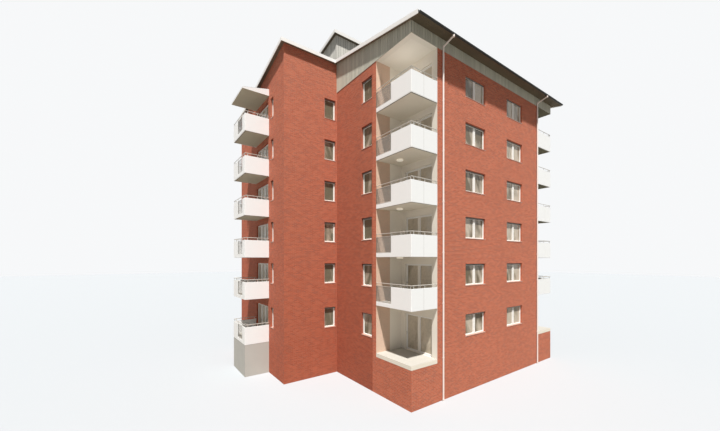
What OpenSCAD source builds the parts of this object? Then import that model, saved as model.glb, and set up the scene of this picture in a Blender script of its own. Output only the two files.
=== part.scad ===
// Six-storey brick apartment block with corner balconies, a bay and a low pitched roof
// Millimetres, +Z up. The origin is the outer front left corner of the main block, on the ground.

/* [Storeys] */
// Number of storeys
storeys = 6; // [2:1:7]
// Height of the masonry base from the lowest ground to the underside of the ground floor
base_h = 2190; // [1500:10:3000]
// Thickness of every floor and balcony slab
slab_t = 230; // [180:10:300]
// Floor to floor height of the ground storey
ground_storey_h = 3100; // [2800:10:3600]
// Floor to floor height of the storeys above
storey_h = 2900; // [2700:10:3300]
// Clear height of the top storey, up to the attic floor
top_room_h = 2880; // [2500:10:3200]
// Thickness of the attic floor
attic_t = 200; // [150:10:300]

/* [Plan] */
// Width of the main block
main_w = 15950; // [14000:50:18000]
// Depth of the main block
main_d = 17200; // [15500:50:19000]
// Thickness of the outer walls
wall_t = 350; // [300:10:400]
// Width of the recessed left corner
recess_w = 2050; // [1700:10:2400]
// Width of the recessed right corner
right_recess_w = 2270; // [1700:10:2600]
// Depth of both recessed corners
recess_d = 2950; // [2750:10:3050]
// How far the bay stands out from the left side
bay_w = 3990; // [2500:10:5000]
// Distance of the bay's front from the front of the main block
bay_y = 7460; // [6500:10:8500]

/* [Roof] */
// Slope of the front roof in degrees
front_pitch = 10.8; // [6:0.1:14]
// Height of the roof's underside over the attic floor at the rear wall's outer face
attic_gap = 120; // [50:10:400]
// Height of the boarded band over the front wall
band_h = 650; // [500:10:900]
// Thickness of the roof deck with its soffit
roof_t = 120; // [80:5:200]
// Overhang of the roof beyond the front and rear walls
eave_out = 720; // [500:10:1000]
// Overhang of the roof beyond the side walls
verge_out = 245; // [150:5:400]
// Overhang of the high roof edge over the bay's front
ridge_out = 200; // [100:5:400]
// Thickness of the edge boards
board_t = 28; // [20:1:40]
// How far an edge board hangs below the soffit
board_drop = 80; // [40:5:120]
// How far an edge board stands above the deck
board_rise = 20; // [0:5:60]
// Outer radius of the half-round gutters
gutter_r = 70; // [50:1:90]
// Wall thickness of the gutters
gutter_t = 6; // [3:1:10]
// Outer radius of the downpipes
pipe_r = 50; // [38:1:60]
// Gap between a downpipe and the wall behind it
pipe_gap = 30; // [20:5:60]
// Radius of the collars where a downpipe bends
collar_r = 60; // [55:1:75]
// Height of a downpipe's slanted stretch under the gutter
swan_h = 230; // [180:5:400]
// Outer radius of that slanted stretch
swan_r = 45; // [35:1:50]
// Width and height of the clips that hold a downpipe to the wall
clip_w = 40; // [25:5:60]
// Distance of the left downpipe from the recess edge
left_pipe_in = 425; // [200:5:800]
// Distance of the right downpipe from the recess edge
right_pipe_in = 100; // [90:5:500]
// Distance of the rear downpipes from the corners
rear_pipe_in = 200; // [100:5:800]

/* [Windows] */
// Width of a double window
double_w = 2090; // [1600:10:2300]
// Width of the single window in the left wall
left_win_w = 1060; // [700:10:1200]
// Width of the single window in the bay's front
bay_win_w = 900; // [600:10:1200]
// Width of the slit window in the bay's side
slit_w = 500; // [400:10:700]
// Sill height over the floor of the front windows
front_sill = 910; // [700:10:1100]
// Sill height over the floor of the side windows
side_sill = 835; // [600:10:1000]
// Head height of every window and balcony door over the floor
head_h = 2260; // [2100:10:2350]
// Distance of the left front windows from the side of the main block
front_win_in = 4630; // [4200:10:5200]
// Distance between the two columns of front windows
win_gap = 2590; // [2000:10:3000]
// Distance of the single rear windows from the rear corners
rear_single_in = 1500; // [1200:10:1700]
// Distance of the side windows from the recess
left_win_in = 430; // [400:10:900]
// Distance of the bay's front window from the main block
bay_win_in = 110; // [100:10:600]
// Distance of the slit window from the bay's front
slit_in = 1890; // [1200:10:2000]
// Width of a frame's outer bars
frame_w = 90; // [50:5:110]
// Depth of a frame
frame_d = 100; // [70:5:130]
// Depth of the reveal in front of a frame
reveal = 125; // [80:5:160]
// Width of the bar between two casements
mullion_w = 190; // [100:5:220]
// Thickness of the glass
glass_t = 24; // [16:2:40]
// How far a sill stands out from the wall
sill_out = 15; // [10:5:60]
// Thickness of a sill
sill_t = 25; // [15:5:40]

/* [Balconies] */
// How far the side balconies stand out from the bay
side_out = 1680; // [1200:10:2200]
// Length of a side balcony along the bay
side_len = 2900; // [2750:10:3200]
// Distance of the side balconies from the bay's front
side_in = 2740; // [2650:10:3200]
// Height of the parapet panels from the underside of the slab
parapet_h = 1195; // [1000:5:1300]
// Thickness of the parapet panels
panel_t = 40; // [25:5:60]
// Height of the handrail's axis from the underside of the slab
rail_h = 1365; // [1320:5:1450]
// Radius of the handrail
rail_r = 21; // [15:1:28]
// Width of the glazed stretch beside the recess wall
corner_glass_w = 1340; // [900:10:1700]
// Width of the glazed stretch in a side balcony's outer face
side_glass_w = 1110; // [700:10:1300]
// Length of the panel between the front corner and that glazed stretch
side_corner_w = 630; // [300:10:900]
// Thickness of the railing glass
pane_t = 12; // [8:1:20]
// Width of a handrail stanchion
post_w = 40; // [25:5:60]
// Thickness of a handrail stanchion
post_t = 12; // [8:1:16]
// Distance of the first stanchion from a corner
post_in = 150; // [100:10:300]
// Distance of the side canopy's underside below the top of the brick
canopy_drop = 260; // [100:10:500]
// Thickness of the canopy's outer edge
canopy_edge = 90; // [60:5:150]
// Thickness of the canopy at the wall
canopy_root = 480; // [300:10:700]
// How far the canopy stands out beyond the side balconies
canopy_over = 170; // [50:10:400]
// Width of a balcony door
door_w = 985; // [850:5:1100]
// Distance of a recess's glazing from the back of the recess
door_in = 350; // [250:10:400]
// Distance of a recess's glazing from the front wall
recess_jamb = 60; // [40:10:150]
// Width of the glazed front behind a side balcony
side_front_w = 2600; // [2200:10:2700]
// Width of the side lights on both sides of the middle pane there
side_light_w = 900; // [700:10:950]

/* [Penthouse] */
// Width of the fan room on the roof
pent_w = 5200; // [4000:50:8000]
// Depth of the fan room
pent_d = 4600; // [3500:50:5500]
// Distance of the fan room from the left side of the main block
pent_x = 390; // [100:10:2000]
// Distance of the fan room's front from the ridge
pent_in = 940; // [500:10:2000]
// Height of the fan room's front wall over the roof
pent_h = 2750; // [2200:10:3200]
// Thickness of the fan room's walls
pent_t = 150; // [100:10:250]
// Overhang of the fan room's roof
pent_out = 250; // [150:10:400]

/* [Hidden] */
$fn = 48;

// Overlap that a cutting tool needs past a face
past = 5;
brick = [0.72, 0.36, 0.27];
white = [0.93, 0.93, 0.91];
concrete = [0.62, 0.60, 0.54];
board_grey = [0.72, 0.71, 0.66];
metal_dark = [0.22, 0.22, 0.21];
glazing = [0.45, 0.55, 0.56, 0.5];

// Height of the floor of storey i, counted from 0
function floor_z(i) = base_h + slab_t + (i == 0 ? 0 : ground_storey_h + (i - 1) * storey_h);
levels = [for (i = [0 : storeys - 1]) i];
upper_levels = [for (i = [1 : storeys - 1]) i];
brick_top = floor_z(storeys - 1) + top_room_h;
ridge_y = bay_y - ridge_out;
ridge_z = brick_top + band_h + ridge_y * tan(front_pitch);
rear_y = main_d;
// Fall of the back roof for each millimetre of depth
back_fall = (ridge_z - brick_top - attic_t - attic_gap) / (rear_y - ridge_y);
// Height of the soffit over a point at depth y
function soffit_z(y) =
    ridge_z - (y < ridge_y ? (ridge_y - y) * tan(front_pitch) : (y - ridge_y) * back_fall);
eave_y = rear_y + eave_out;
bay_back = rear_y - bay_y;
side_y = bay_y + side_in;
recess_widths = [recess_w, right_recess_w];
right_edge = main_w - right_recess_w;

// Columns of openings, each as distance along the wall and width, seen from outside from the left
front_cols = [[front_win_in - recess_w, double_w], [front_win_in + double_w + win_gap - recess_w, double_w]];
left_cols = [[bay_y + wall_t - (recess_d + left_win_in) - left_win_w, left_win_w]];
bay_front_cols = [[bay_w - bay_win_in - bay_win_w, bay_win_w]];
slit_cols = [[rear_y - wall_t - (bay_y + slit_in) - slit_w, slit_w]];
side_front_cols = [[rear_y - wall_t - (side_y + side_len / 2) - side_front_w / 2, side_front_w]];
rear_cols = [[rear_single_in, left_win_w], [front_win_in, double_w],
    [main_w - front_win_in - double_w, double_w],
    [main_w + bay_w - rear_single_in - left_win_w, left_win_w]];
right_run = rear_y - recess_d - 2 * wall_t;
right_cols = [[left_win_in - wall_t, left_win_w], [right_run / 2 - double_w / 2, double_w],
    [right_run - left_win_in - double_w, double_w]];

// Puts a piece drawn on a wall's outer face, from its left end seen from outside, into place
module on_face(x, y, turn) {
    translate([x, y, 0]) rotate([0, 0, turn]) children();
}

module on_front() { on_face(recess_w, 0, 0) children(); }
module on_left() { on_face(0, bay_y + wall_t, -90) children(); }
module on_bay_front() { on_face(-bay_w, bay_y, 0) children(); }
module on_bay_side() { on_face(-bay_w, rear_y - wall_t, -90) children(); }
module on_rear() { on_face(main_w, rear_y, 180) children(); }
module on_right() { on_face(main_w, recess_d + wall_t, 90) children(); }

// Puts a piece drawn in the left recess there, or mirrored in the right one
module at_recess(side) {
    if (side == 0) children();
    else translate([main_w, 0, 0]) mirror([1, 0, 0]) children();
}

// Puts the part's origin at the middle of its box on the ground
mid_x = (main_w + verge_out + board_t - bay_w - side_out - canopy_over) / 2;
mid_y = rear_y / 2;
module centred() { translate([-mid_x, -mid_y, 0]) children(); }

// A flat piece with an outline in the plane of a wall
module upright(points, thick) {
    translate([0, thick, 0]) rotate([90, 0, 0]) linear_extrude(thick) polygon(points);
}

// A length along X of a cross-section drawn in depth and height
module along_x(x, long, points) {
    translate([x, 0, 0]) rotate([90, 0, 90]) linear_extrude(long) polygon(points);
}

module openings(cols, sill) {
    for (i = levels, c = cols) {
        translate([c[0], -past, floor_z(i) + sill]) cube([c[1], wall_t + 2 * past, head_h - sill]);
    }
}

// Middle of the bar that parts a double window; a single one has none
function bars_of(c) = c[1] >= double_w ? [c[1] / 2] : [];

// Frame of one window or door, standing in its opening, with a bar between two casements
module frame(c, sill, bars, shelf) {
    wide = c[1];
    high = head_h - sill;
    translate([c[0], reveal, 0]) {
        difference() {
            cube([wide, frame_d, high]);
            translate([frame_w, -past, frame_w])
                cube([wide - 2 * frame_w, frame_d + 2 * past, high - 2 * frame_w]);
        }
        for (b = bars) translate([b - mullion_w / 2, 0, frame_w / 2])
            cube([mullion_w, frame_d, high - frame_w]);
        if (shelf) translate([0, -reveal - sill_out, 0])
            cube([wide, reveal + sill_out + frame_d / 2, sill_t]);
    }
}

module frames(cols, sill) {
    for (i = levels, c = cols) {
        translate([0, 0, floor_z(i) + sill]) frame(c, sill, bars_of(c), true);
    }
}

// Panes of one opening, one between each pair of bars
module panes(c, sill, bars) {
    ends = concat([0], bars, [c[1]]);
    for (k = [0 : len(ends) - 2]) {
        lo = k == 0 ? frame_w : ends[k] + mullion_w / 2;
        hi = k == len(ends) - 2 ? c[1] - frame_w : ends[k + 1] - mullion_w / 2;
        translate([c[0] + lo, reveal + frame_d / 2 - glass_t / 2, frame_w])
            cube([hi - lo, glass_t, head_h - sill - 2 * frame_w]);
    }
}

module glazed(cols, sill) {
    for (i = levels, c = cols) {
        translate([0, 0, floor_z(i) + sill]) panes(c, sill, bars_of(c));
    }
}

module front_wall() {
    wide = right_edge - recess_w;
    color(brick) on_front() difference() {
        cube([wide, wall_t, brick_top]);
        openings(front_cols, front_sill);
    }
}

module left_wall() {
    color(brick) on_left() difference() {
        cube([bay_y - recess_d, wall_t, brick_top]);
        openings(left_cols, side_sill);
    }
}

module bay_front_wall() {
    color(brick) on_bay_front() difference() {
        along_x(0, bay_w, [[0, 0], [wall_t, 0], [wall_t, soffit_z(bay_y + wall_t)], [0, soffit_z(bay_y)]]);
        openings(bay_front_cols, side_sill);
    }
}

module bay_side_wall() {
    long = bay_back - 2 * wall_t;
    color(brick) on_bay_side() difference() {
        upright([[0, 0], [long, 0], [long, soffit_z(bay_y + wall_t)], [0, soffit_z(rear_y - wall_t)]],
            wall_t);
        openings(slit_cols, side_sill);
        openings(side_front_cols, 0);
    }
}

module rear_wall() {
    wide = main_w + bay_w;
    color(brick) on_rear() difference() {
        along_x(0, wide, [[0, 0], [wall_t, 0], [wall_t, soffit_z(rear_y - wall_t)], [0, soffit_z(rear_y)]]);
        openings(rear_cols, side_sill);
    }
}

module right_wall() {
    color(brick) on_right() difference() {
        cube([rear_y - recess_d - 2 * wall_t, wall_t, brick_top]);
        openings(right_cols, side_sill);
    }
}

// The opening in a recess's side wall, seen from the balcony, from the back of the recess
recess_front_w = recess_d - wall_t - door_in - recess_jamb;
recess_cols = [[wall_t + door_in, recess_front_w]];
recess_bars = [door_w + mullion_w / 2];

module on_recess_side(side) {
    at_recess(side) on_face(recess_widths[side], recess_d + wall_t, -90) children();
}

module recess_side_walls() {
    color(concrete) for (side = [0, 1]) on_recess_side(side) difference() {
        cube([recess_d, wall_t, brick_top]);
        openings(recess_cols, 0);
    }
}

module recess_back_walls() {
    color(brick) for (side = [0, 1]) at_recess(side)
        translate([0, recess_d, 0]) cube([recess_widths[side], wall_t, brick_top]);
}

module recess_bases() {
    color(brick) for (side = [0, 1]) at_recess(side) {
        cube([recess_widths[side], wall_t, base_h]);
        cube([wall_t, recess_d, base_h]);
    }
}

module terrace_base() {
    color(concrete) translate([-bay_w - side_out, side_y, 0]) cube([side_out, side_len, base_h]);
}

module front_cladding() {
    color(board_grey) along_x(0, main_w,
        [[0, brick_top], [wall_t, brick_top], [wall_t, soffit_z(wall_t)], [0, soffit_z(0)]]);
}

module left_gable() {
    color(board_grey) along_x(0, wall_t,
        [[wall_t, brick_top], [bay_y + wall_t, brick_top], [bay_y + wall_t, soffit_z(bay_y + wall_t)],
            [ridge_y, ridge_z], [wall_t, soffit_z(wall_t)]]);
}

module right_gable() {
    color(board_grey) along_x(main_w - wall_t, wall_t,
        [[wall_t, brick_top], [rear_y - wall_t, brick_top], [rear_y - wall_t, soffit_z(rear_y - wall_t)],
            [ridge_y, ridge_z], [wall_t, soffit_z(wall_t)]]);
}

module main_floors() {
    y0 = recess_d + wall_t;
    color(concrete) for (i = levels) translate([wall_t, y0, floor_z(i) - slab_t])
        cube([main_w - 2 * wall_t, rear_y - wall_t - y0, slab_t]);
}

module front_floors() {
    x0 = recess_w + wall_t;
    color(concrete) for (i = levels) translate([x0, wall_t, floor_z(i) - slab_t])
        cube([right_edge - wall_t - x0, recess_d, slab_t]);
}

module bay_floors() {
    y0 = bay_y + wall_t;
    color(concrete) {
        for (i = levels) translate([wall_t - bay_w, y0, floor_z(i) - slab_t])
            cube([bay_w, rear_y - wall_t - y0, slab_t]);
        translate([wall_t - bay_w, y0, brick_top]) cube([bay_w, rear_y - wall_t - y0, attic_t]);
    }
}

module attic_floor() {
    color(concrete) translate([wall_t, wall_t, brick_top])
        cube([main_w - 2 * wall_t, rear_y - 2 * wall_t, attic_t]);
}

module corner_balcony_slabs() {
    color(concrete) for (side = [0, 1], i = levels) at_recess(side) {
        edge = i == 0 ? 0 : panel_t;
        translate([edge, edge, floor_z(i) - slab_t])
            cube([recess_widths[side] - edge, recess_d - edge, slab_t]);
    }
}

module side_balcony_slabs() {
    color(concrete) for (i = levels)
        translate([panel_t - bay_w - side_out, side_y + panel_t, floor_z(i) - slab_t])
            cube([side_out - panel_t, side_len - 2 * panel_t, slab_t]);
}

module parapets_front() {
    color(white) {
        for (side = [0, 1], i = upper_levels) at_recess(side) {
            translate([0, 0, floor_z(i) - slab_t]) cube([recess_widths[side], panel_t, parapet_h]);
        }
        for (i = levels, y = [side_y, side_y + side_len - panel_t]) {
            translate([-bay_w - side_out, y, floor_z(i) - slab_t]) cube([side_out, panel_t, parapet_h]);
        }
    }
}

// A panel along Y with a glazed gap, which leaves a low edge strip there
module gapped_panel(long, gap_from, gap_w) {
    difference() {
        cube([panel_t, long, parapet_h]);
        translate([-past, gap_from, slab_t]) cube([panel_t + 2 * past, gap_w, parapet_h]);
    }
}

corner_gap = recess_d - corner_glass_w;
module parapets_side() {
    color(white) {
        for (side = [0, 1], i = upper_levels) at_recess(side) translate([0, panel_t, floor_z(i) - slab_t])
            gapped_panel(recess_d - panel_t, corner_gap - panel_t, corner_glass_w + past);
        for (i = levels) {
            translate([-bay_w - side_out, side_y + panel_t, floor_z(i) - slab_t])
                gapped_panel(side_len - 2 * panel_t, side_corner_w - panel_t, side_glass_w);
        }
    }
}

module railing_glass() {
    pane_h = parapet_h - slab_t;
    inset = (panel_t - pane_t) / 2;
    color(glazing) {
        for (side = [0, 1], i = upper_levels) at_recess(side) {
            translate([inset, corner_gap, floor_z(i)]) cube([pane_t, corner_glass_w, pane_h]);
        }
        for (i = levels) {
            translate([inset - bay_w - side_out, side_y + side_corner_w, floor_z(i)])
                cube([pane_t, side_glass_w, pane_h]);
        }
    }
}

// A rail along X over a panel, on stanchions that stand on the panel's top
module rail(long, posts) {
    translate([0, panel_t / 2, rail_h]) rotate([0, 90, 0]) cylinder(r = rail_r, h = long);
    for (p = posts) {
        translate([p - post_w / 2, (panel_t - post_t) / 2, parapet_h])
            cube([post_w, post_t, rail_h - parapet_h]);
    }
}

// Where a front rail starts, beside the side rail of the same corner
rail_start = panel_t / 2 + rail_r;
module handrails_front() {
    color(white) {
        for (side = [0, 1], i = upper_levels) at_recess(side) {
            long = recess_widths[side] - rail_start;
            translate([rail_start, 0, floor_z(i) - slab_t]) rail(long, [post_in, long / 2, long - post_in]);
        }
        for (i = levels, y = [side_y, side_y + side_len - panel_t]) {
            long = side_out - rail_start;
            translate([rail_start - bay_w - side_out, y, floor_z(i) - slab_t])
                rail(long, [post_in, long / 2, long - post_in]);
        }
    }
}

module handrails_side() {
    corner_post = panel_t + post_w;
    color(white) {
        for (side = [0, 1], i = upper_levels) at_recess(side) {
            translate([panel_t, 0, floor_z(i) - slab_t]) rotate([0, 0, 90])
                rail(recess_d, [corner_post, corner_gap / 2, corner_gap - post_w]);
        }
        for (i = levels) {
            translate([panel_t - bay_w - side_out, side_y, floor_z(i) - slab_t]) rotate([0, 0, 90])
                rail(side_len, [corner_post, side_corner_w - post_w,
                    side_corner_w + side_glass_w + post_w, side_len - corner_post]);
        }
    }
}

module balcony_canopy() {
    out = side_out + canopy_over;
    color(white) translate([-bay_w, side_y + side_len, brick_top - canopy_drop]) rotate([90, 0, 0])
        linear_extrude(side_len) polygon([[0, 0], [-out, 0], [-out, canopy_edge], [0, canopy_root]]);
}

// A roof slope between two depths, as a plate over the soffit
module slope(x0, x1, y0, y1) {
    along_x(x0, x1 - x0,
        [[y0, soffit_z(y0)], [y1, soffit_z(y1)], [y1, soffit_z(y1) + roof_t], [y0, soffit_z(y0) + roof_t]]);
}

module front_roof() {
    color(metal_dark) slope(-verge_out, main_w + verge_out, -eave_out, ridge_y);
}

module back_roof() {
    color(metal_dark) slope(-bay_w - verge_out, main_w + verge_out, ridge_y, eave_y);
}

// An edge board beside a sloping roof edge
module verge_board(x, ys) {
    low = [for (y = ys) [y, soffit_z(y) - board_drop]];
    high = [for (k = [len(ys) - 1 : -1 : 0]) [ys[k], soffit_z(ys[k]) + roof_t + board_rise]];
    along_x(x, board_t, concat(low, high));
}

module edge_boards() {
    color(white) {
        verge_board(-verge_out - board_t, [-eave_out, ridge_y - board_t]);
        verge_board(-bay_w - verge_out - board_t, [ridge_y, eave_y]);
        verge_board(main_w + verge_out, [-eave_out, ridge_y, eave_y]);
        translate([-bay_w - verge_out - board_t, ridge_y - board_t, ridge_z - board_drop])
            cube([bay_w + board_t, board_t, board_drop + roof_t + board_rise]);
    }
}

module gutter(x0, x1, y, z) {
    long = x1 - x0;
    wide = 2 * gutter_r;
    translate([x0, y, z]) rotate([0, 90, 0]) difference() {
        cylinder(r = gutter_r, h = long);
        translate([0, 0, gutter_t]) cylinder(r = gutter_r - gutter_t, h = long - 2 * gutter_t);
        translate([-wide, -gutter_r - past, -past]) cube([wide, wide + 2 * past, long + 2 * past]);
    }
}

front_gutter_z = soffit_z(-eave_out) + gutter_t;
rear_gutter_z = soffit_z(eave_y) + gutter_t;
module gutters() {
    color(metal_dark) {
        gutter(-verge_out, main_w + verge_out, -eave_out - gutter_r, front_gutter_z);
        gutter(-bay_w - verge_out, main_w + verge_out, eave_y + gutter_r, rear_gutter_z);
    }
}

// A pipe from the gutter back to the wall and down it, drawn for a wall at y = 0 that faces -Y
module downpipe(gutter_z) {
    y_wall = -pipe_gap - pipe_r;
    y_gutter = -eave_out - gutter_r;
    top = gutter_z - gutter_r;
    z_high = top - collar_r;
    z_low = z_high - swan_h;
    run = y_wall - y_gutter;
    translate([0, y_wall, 0]) cylinder(r = pipe_r, h = z_low);
    translate([0, y_wall, z_low - collar_r]) cylinder(r = collar_r, h = 2 * collar_r);
    translate([0, y_gutter, z_high - collar_r]) cylinder(r = collar_r, h = 2 * collar_r);
    translate([0, y_wall, z_low]) rotate([atan2(run, swan_h), 0, 0])
        cylinder(r = swan_r, h = norm([run, swan_h]));
    for (i = levels) translate([-clip_w / 2, y_wall, floor_z(i)]) cube([clip_w, -y_wall, clip_w]);
}

module downpipes() {
    color(white) {
        translate([recess_w + left_pipe_in, 0, 0]) downpipe(front_gutter_z);
        translate([right_edge - right_pipe_in, 0, 0]) downpipe(front_gutter_z);
        on_rear() translate([rear_pipe_in, 0, 0]) downpipe(rear_gutter_z);
        on_rear() translate([main_w + bay_w - rear_pipe_in, 0, 0]) downpipe(rear_gutter_z);
    }
}

pent_y = ridge_y + pent_in;
function deck_z(y) = soffit_z(y) + roof_t;
pent_top = deck_z(pent_y) + pent_h;
// Height of the underside of the fan room's roof at depth y
function pent_z(y) = pent_top - (y - pent_y) * back_fall;

module pent_wall(x, wide, y0, y1) {
    along_x(x, wide, [[y0, deck_z(y0)], [y1, deck_z(y1)], [y1, pent_z(y1)], [y0, pent_z(y0)]]);
}

module penthouse_walls() {
    color(board_grey) {
        pent_wall(pent_x, pent_w, pent_y, pent_y + pent_t);
        pent_wall(pent_x, pent_w, pent_y + pent_d - pent_t, pent_y + pent_d);
        for (x = [pent_x, pent_x + pent_w - pent_t]) pent_wall(x, pent_t, pent_y, pent_y + pent_d);
    }
}

pent_x0 = pent_x - pent_out;
pent_x1 = pent_x + pent_w + pent_out;
pent_y0 = pent_y - pent_out;
pent_y1 = pent_y + pent_d + pent_out;
module penthouse_roof() {
    color(metal_dark) along_x(pent_x0, pent_x1 - pent_x0,
        [[pent_y0, pent_z(pent_y0)], [pent_y1, pent_z(pent_y1)],
            [pent_y1, pent_z(pent_y1) + roof_t], [pent_y0, pent_z(pent_y0) + roof_t]]);
}

module penthouse_boards() {
    board_h = board_drop + roof_t + board_rise;
    color(white) {
        for (x = [pent_x0 - board_t, pent_x1]) along_x(x, board_t,
            [for (p = [[pent_y0, -board_drop], [pent_y1, -board_drop],
                [pent_y1, roof_t + board_rise], [pent_y0, roof_t + board_rise]])
                [p[0], pent_z(p[0]) + p[1]]]);
        translate([pent_x0 - board_t, pent_y0 - board_t, pent_z(pent_y0) - board_drop])
            cube([pent_x1 - pent_x0 + 2 * board_t, board_t, board_h]);
        translate([pent_x0 - board_t, pent_y1, pent_z(pent_y1) - board_drop])
            cube([pent_x1 - pent_x0 + 2 * board_t, board_t, board_h]);
    }
}

module front_windows() { color(white) on_front() frames(front_cols, front_sill); }

module left_windows() {
    color(white) {
        on_left() frames(left_cols, side_sill);
        on_bay_front() frames(bay_front_cols, side_sill);
        on_bay_side() frames(slit_cols, side_sill);
    }
}

module rear_windows() { color(white) on_rear() frames(rear_cols, side_sill); }

module right_windows() { color(white) on_right() frames(right_cols, side_sill); }

// Middles of the bars between the panes behind a side balcony
side_bars = [side_light_w, side_front_w - side_light_w];
module balcony_doors() {
    color(white) for (i = levels) translate([0, 0, floor_z(i)]) {
        for (side = [0, 1]) on_recess_side(side) frame(recess_cols[0], 0, recess_bars, false);
        on_bay_side() frame(side_front_cols[0], 0, side_bars, false);
    }
}

module front_glass() { color(glazing) on_front() glazed(front_cols, front_sill); }

module left_glass() {
    color(glazing) {
        on_left() glazed(left_cols, side_sill);
        on_bay_front() glazed(bay_front_cols, side_sill);
        on_bay_side() glazed(slit_cols, side_sill);
    }
}

module rear_glass() { color(glazing) on_rear() glazed(rear_cols, side_sill); }

module right_glass() { color(glazing) on_right() glazed(right_cols, side_sill); }

module door_glass() {
    color(glazing) for (i = levels) translate([0, 0, floor_z(i)]) {
        for (side = [0, 1]) on_recess_side(side) panes(recess_cols[0], 0, recess_bars);
        on_bay_side() panes(side_front_cols[0], 0, side_bars);
    }
}

centred() front_wall();
centred() left_wall();
centred() bay_front_wall();
centred() bay_side_wall();
centred() rear_wall();
centred() right_wall();
centred() recess_side_walls();
centred() recess_back_walls();
centred() recess_bases();
centred() terrace_base();
centred() front_cladding();
centred() left_gable();
centred() right_gable();
centred() main_floors();
centred() front_floors();
centred() bay_floors();
centred() attic_floor();
centred() corner_balcony_slabs();
centred() side_balcony_slabs();
centred() parapets_front();
centred() parapets_side();
centred() railing_glass();
centred() handrails_front();
centred() handrails_side();
centred() balcony_canopy();
centred() front_roof();
centred() back_roof();
centred() edge_boards();
centred() gutters();
centred() downpipes();
centred() penthouse_walls();
centred() penthouse_roof();
centred() penthouse_boards();
centred() front_windows();
centred() left_windows();
centred() rear_windows();
centred() right_windows();
centred() balcony_doors();
centred() front_glass();
centred() left_glass();
centred() rear_glass();
centred() right_glass();
centred() door_glass();
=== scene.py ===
"""Finishes and fine pieces for a brick apartment block, laid out as an add-on and run as a script."""

import math

import bmesh
import bpy
from bpy.props import FloatProperty, FloatVectorProperty, IntProperty, PointerProperty
from mathutils import Matrix, Vector


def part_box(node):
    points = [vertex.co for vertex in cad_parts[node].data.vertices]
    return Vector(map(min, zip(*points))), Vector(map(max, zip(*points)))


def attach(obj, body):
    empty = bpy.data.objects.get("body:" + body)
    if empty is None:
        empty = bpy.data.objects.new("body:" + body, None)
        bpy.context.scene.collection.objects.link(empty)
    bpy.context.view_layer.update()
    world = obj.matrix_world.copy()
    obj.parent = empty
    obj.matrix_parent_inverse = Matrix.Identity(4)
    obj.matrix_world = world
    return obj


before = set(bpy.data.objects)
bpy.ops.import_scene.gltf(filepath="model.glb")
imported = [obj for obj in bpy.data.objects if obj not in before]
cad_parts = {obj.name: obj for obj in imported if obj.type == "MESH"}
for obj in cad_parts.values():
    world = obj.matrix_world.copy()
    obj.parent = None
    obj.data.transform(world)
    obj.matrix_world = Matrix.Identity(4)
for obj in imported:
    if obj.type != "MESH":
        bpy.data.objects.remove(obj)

bl_info = {
    "name": "Apartment block finishes",
    "version": (1, 0, 0),
    "blender": (4, 5, 0),
    "location": "3D View > Sidebar > Apartment block",
    "description": "Brick, boards, windows, balconies and roof of an apartment block",
    "category": "Object",
}

BODY = "root"
PICTURE = (720, 431)
WINDOW_SIDES = ("front", "left", "rear", "right")

# Outward directions of the four sides
FRONT = Vector((0, -1, 0))
REAR = Vector((0, 1, 0))
LEFT = Vector((-1, 0, 0))
RIGHT = Vector((1, 0, 0))
UP = Vector((0, 0, 1))

# Bevels of small bars, of boards and plates, and of sashes and folded sheet
FINE_EDGE = 0.002
EDGE = 0.003
SOFT_EDGE = 0.004
# Points closer together than this are one corner
WELD = 1e-5
# Points of one stanchion's foot lie within this distance
FOOT = 0.08
# A post between two door panes is narrower than this
POST = 0.3
# Two panes in one row differ less than this in height and in depth
LEVEL = 0.1
# What belongs to the front face lies before this place along Y
FRONT_PART = -8.0
# The right corner's balconies lie beyond this place along X
RIGHT_PART = 8.0
# How squarely a surface has to face a side to take that side's paint, or to have its bricks and boards turned
FACING = 0.5
TURNED = 0.6
# Height of the band of painted shade over a pane, the lintel's shadow on the frame's head bar
HEAD_SHADE_BAND = 0.2
# Sides of round discs and of round bars
DISC_SIDES = 24
ROD_SIDES = 10


# Places in the frame


def across(outward):
    """The axis that runs along a side that faces outward."""
    return Vector((abs(outward.y), abs(outward.x), 0))


class Box:
    """A box along the axes, between two corners."""

    def __init__(self, low, high):
        self.low = Vector(low)
        self.high = Vector(high)

    @property
    def middle(self):
        return (self.low + self.high) / 2

    @property
    def size(self):
        return self.high - self.low

    def face(self, outward):
        """Distance of the box's outer face along an outward direction."""
        return max(self.low.dot(outward), self.high.dot(outward))

    def span(self, outward):
        """Low and high end along the side that faces outward."""
        return self.low.dot(across(outward)), self.high.dot(across(outward))

    def side(self):
        """The side of the block on which the box lies."""
        return LEFT if self.middle.x < 0 else RIGHT

    def inward(self, distance):
        """The place along X at a distance from the box's outer side."""
        return self.side().x * (self.face(self.side()) - distance)

    def nearest(self, boxes):
        """The one of some boxes whose middle lies nearest."""
        return min(boxes, key=lambda box: (box.middle - self.middle).length)


def cad_mesh(name):
    """The mesh of a CAD node."""
    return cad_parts[name].data


def node_box(name):
    """The box of a whole CAD node."""
    return Box(*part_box(name))


def solids(name):
    """The boxes of a CAD node's separate solids, lowest first."""
    shape = bmesh.new()
    shape.from_mesh(cad_mesh(name))
    bmesh.ops.remove_doubles(shape, verts=shape.verts, dist=WELD)
    boxes = []
    left = set(shape.verts)
    while left:
        seen = {left.pop()}
        edge = list(seen)
        while edge:
            near = {e.other_vert(v) for v in edge for e in v.link_edges} - seen
            seen |= near
            edge = list(near)
        left -= seen
        low, high = ([end(v.co[k] for v in seen) for k in range(3)] for end in (min, max))
        boxes.append(Box(low, high))
    shape.free()
    return sorted(boxes, key=lambda b: (round(b.low.z, 2), round(b.low.x, 2), round(b.low.y, 2)))


def looks(node, box):
    """The direction in which one of a node's panes or windows looks."""
    if box.size.x > box.size.y:
        return REAR if node.startswith("rear") else FRONT
    return box.side()


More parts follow.
